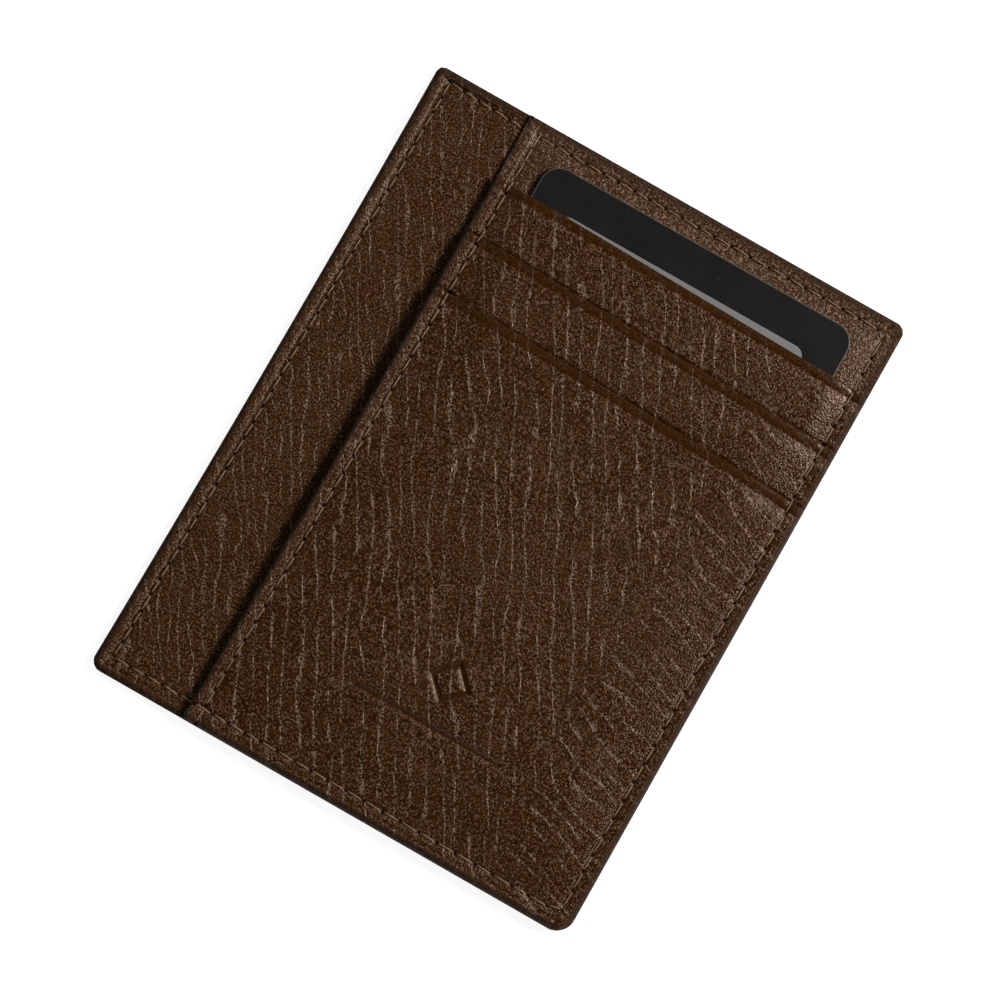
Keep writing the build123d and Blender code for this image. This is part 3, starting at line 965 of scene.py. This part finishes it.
def open_leather(piece):
    """A leather's outer face as a bmesh in mm."""
    mesh = bmesh.new()
    mesh.from_mesh(piece.data)
    bmesh.ops.scale(mesh, vec=(1 / mm, 1 / mm, 1 / mm), verts=mesh.verts)
    mesh.normal_update()
    return mesh


def outer_level(trees, x, y, side):
    """Outermost level there of some leathers, seen from the front (side 1) or from the back (-1)."""
    hits = [tree.ray_cast(Vector((x, y, 20 * side)), Vector((0, 0, -side)))[0] for tree in trees]
    levels = [hit.z * side for hit in hits if hit]
    return max(levels) * side if levels else None


hole_length = 0.36
hole_width = 0.25
hole_depth = 0.32


def pierce(skins, seams, side):
    """Opens a needle hole at every point of the seams, in whichever leather is outermost there."""
    trees = {name: BVHTree.FromBMesh(mesh) for name, mesh in skins.items()}
    finders = {}
    for name, mesh in skins.items():
        mesh.verts.ensure_lookup_table()
        faces_out = [vertex for vertex in mesh.verts if vertex.normal.z * side > 0.25]
        finders[name] = KDTree(len(faces_out))
        for vertex in faces_out:
            finders[name].insert(vertex.co, vertex.index)
        finders[name].balance()
    for points in seams:
        for number, point in enumerate(points):
            along = (points[min(number + 1, len(points) - 1)] - points[max(number - 1, 0)]).normalized()
            across = Vector((-along.y, along.x, 0))
            best = None
            for name, tree in trees.items():
                hit = tree.ray_cast(Vector((point.x, point.y, 20 * side)), Vector((0, 0, -side)))[0]
                if hit and (best is None or hit.z * side > best[1].z * side):
                    best = (name, hit)
            if not best:
                continue
            name, hit = best
            centre = skins[name].verts[finders[name].find(hit)[1]]
            around = {vertex for face in centre.link_faces for vertex in face.verts} - {centre}
            if len(around) != 8 or (centre.co - hit).length > 0.6:
                continue
            reach_along = max(abs((vertex.co - centre.co).dot(along)) for vertex in around)
            reach_across = max(abs((vertex.co - centre.co).dot(across)) for vertex in around)
            for vertex in around:
                step = vertex.co - centre.co
                go_along = round(step.dot(along) / reach_along * 0.9)
                go_across = round(step.dot(across) / reach_across * 0.9)
                way = along * go_along * hole_length + across * go_across * hole_width
                if go_along and go_across:
                    way *= 0.75
                rim = mix(vertex.co.z, hit.z, 0.5) - 0.04 * side
                vertex.co = (hit.x + way.x, hit.y + way.y, rim)
            centre.co = (hit.x, hit.y, hit.z - hole_depth * side)
            for face in centre.link_faces:
                face.material_index = 1


def close_leather(piece, mesh):
    """Puts a pierced leather's mesh back into its piece."""
    bmesh.ops.scale(mesh, vec=(mm, mm, mm), verts=mesh.verts)
    mesh.to_mesh(piece.data)
    mesh.free()
    piece.data.materials.append(hole_shade.material)


tube = bmesh.new()
bmesh.ops.create_cone(tube, cap_ends=True, segments=6, radius1=1, radius2=1, depth=2)
upright = [edge for edge in tube.edges if abs(edge.verts[0].co.z - edge.verts[1].co.z) > 1]
bmesh.ops.subdivide_edges(tube, edges=upright, cuts=9)
plain_tube = bpy.data.meshes.new("plain_tube")
tube.to_mesh(plain_tube)
tube.free()


def sew(name, seams, level, side, thick=0.17, node=None, rise=0.05):
    """One piece with all the stitches between the holes of some seams, each a short twisted tube."""
    mesh = bmesh.new()
    for points in seams:
        for start, end in zip(points, points[1:]):
            way = end - start
            along = way.normalized()
            across = Vector((-along.y, along.x, 0))
            slant = 0.07 * side + chance.uniform(-0.03, 0.03)
            swell = thick * chance.uniform(0.94, 1.08)
            turned = chance.uniform(0, 6.28)
            count = len(mesh.verts)
            mesh.from_mesh(plain_tube)
            mesh.verts.ensure_lookup_table()
            for vertex in mesh.verts[count:]:
                share = (vertex.co.z + 1) / 2
                angle = math.atan2(vertex.co.y, vertex.co.x)
                ply = 1 + 0.15 * math.cos(2 * angle - share * 17)
                angle += turned
                end_dip = dip(share, 0.13) + dip(1 - share, 0.13)
                radius = swell * ply * (1 - 0.35 * end_dip)
                spot = start + along * mix(0.17, way.length - 0.15, share)
                spot += across * (slant * (1 - 2 * share) + radius * math.cos(angle))
                ground = level(spot.x, spot.y)
                lift = rise + 0.08 * math.sin(math.pi * share) - 0.26 * end_dip
                vertex.co = (spot.x, spot.y, ground + side * (lift + radius * 0.85 * math.sin(angle)))
    bmesh.ops.recalc_face_normals(mesh, faces=mesh.faces)
    piece = add_piece(name, mesh, thread.material)
    if node:
        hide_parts(node)
    return piece


edge_runs = [
    ((2.75, 105.25), (8.0, 104.9), 2.6), ((8.0, 104.9), (19.0, 104.5), 2.75),
    ((19.0, 104.5), (50.0, 104.5), 2.9), ((50.0, 104.5), (79.0, 104.6), 3.1),
    ((79.0, 104.6), (80.25, 103.4), 1.8), ((80.25, 103.4), (80.25, 3.75), 3.15),
    ((80.25, 3.75), (78.1, 2.9), 2.3), ((78.1, 2.9), (40.0, 2.9), 3.15),
    ((40.0, 2.9), (2.55, 2.9), 2.85), ((2.55, 2.9), (2.75, 105.25), 2.75),
]
edge_seam = seam_points(edge_runs)
tail_seam = seam_points([((0.5, 105.38), (2.75, 105.25), 2.6)])
stack_edge_seam = seam_points([((18.9, 105.6), (18.45, 0.5), 2.92)])
front_pieces = [inner_panel, stack_base, front] + pocket_strips
front_skins = {piece.name: open_leather(piece) for piece in front_pieces}
front_trees = [BVHTree.FromBMesh(mesh) for mesh in front_skins.values()]
back_skins = {back_panel.name: open_leather(back_panel)}
back_trees = [BVHTree.FromBMesh(mesh) for mesh in back_skins.values()]
pierce(front_skins, [edge_seam, stack_edge_seam], 1)
pierce(back_skins, [edge_seam], -1)
for piece in front_pieces:
    close_leather(piece, front_skins[piece.name])
close_leather(back_panel, back_skins[back_panel.name])


def front_level(x, y):
    return outer_level(front_trees, x, y, 1) or inner_floor


def back_level(x, y):
    return outer_level(back_trees, x, y, -1) or 0.2


sew("edge_needle_stitches", [tail_seam, edge_seam], front_level, 1, 0.145, "perimeter_needle_thread")
sew("stack_edge_needle_stitches", [stack_edge_seam], front_level, 1, 0.145, "edge_needle_thread")
sew("edge_bobbin_stitches", [edge_seam], back_level, -1, 0.14, "perimeter_bobbin_thread", -0.10)
sew(
    "stack_edge_bobbin_stitches", [stack_edge_seam[1:-1]], lambda x, y: stack_floor, -1, 0.11,
    "edge_bobbin_thread", 0.0,
)
pocket_feet = {1: (14.2, 2.84), 2: (7.8, 2.95)}
for number, (line_y, low) in pocket_feet.items():
    foot_seam = seam_points([((19.6, line_y), (79.4, line_y), 3.0)])
    sew(
        f"pocket_{number}_foot_stitches", [foot_seam], lambda x, y: low, 1, 0.1,
        f"pocket_{number}_seam_thread", 0.0,
    )
